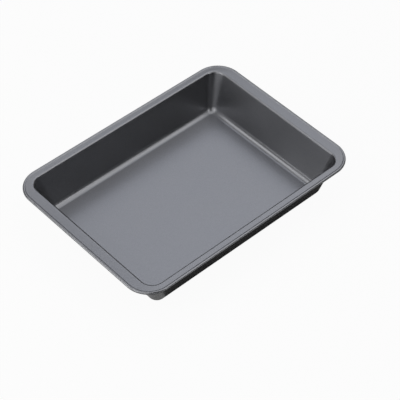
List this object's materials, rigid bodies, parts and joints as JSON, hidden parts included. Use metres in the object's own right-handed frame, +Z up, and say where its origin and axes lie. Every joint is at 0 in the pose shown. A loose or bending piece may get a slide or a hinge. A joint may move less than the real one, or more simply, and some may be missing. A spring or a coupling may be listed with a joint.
{
  "type": "baking pan",
  "caption": "Rectangular pressed steel baking pan with sloping walls, rounded corners, a broad rim with a wired rolled edge, a grey metallic non-stick lining and a black outer coat.",
  "frame": {"origin": "middle of the underside, on the surface that the pan stands on", "axes": "+X along the length, +Y across the width, +Z up out of the open top"},
  "size_m": [0.382, 0.279, 0.06],
  "materials": {
    "nonstick_lining": "semi-gloss grey non-stick coat with a fine metallic fleck",
    "pan_shell": "bare cold-rolled steel, seen only at the cut edge inside the roll",
    "outer_coating": "satin black coat, duller than the lining",
    "rim_wire": "drawn steel wire"
  },
  "bodies": {
    "root": {"nonstick_lining": "nonstick_lining", "pan_shell": "pan_shell", "outer_coating": "outer_coating", "rim_wire": "rim_wire"}
  },
  "joints": []
}
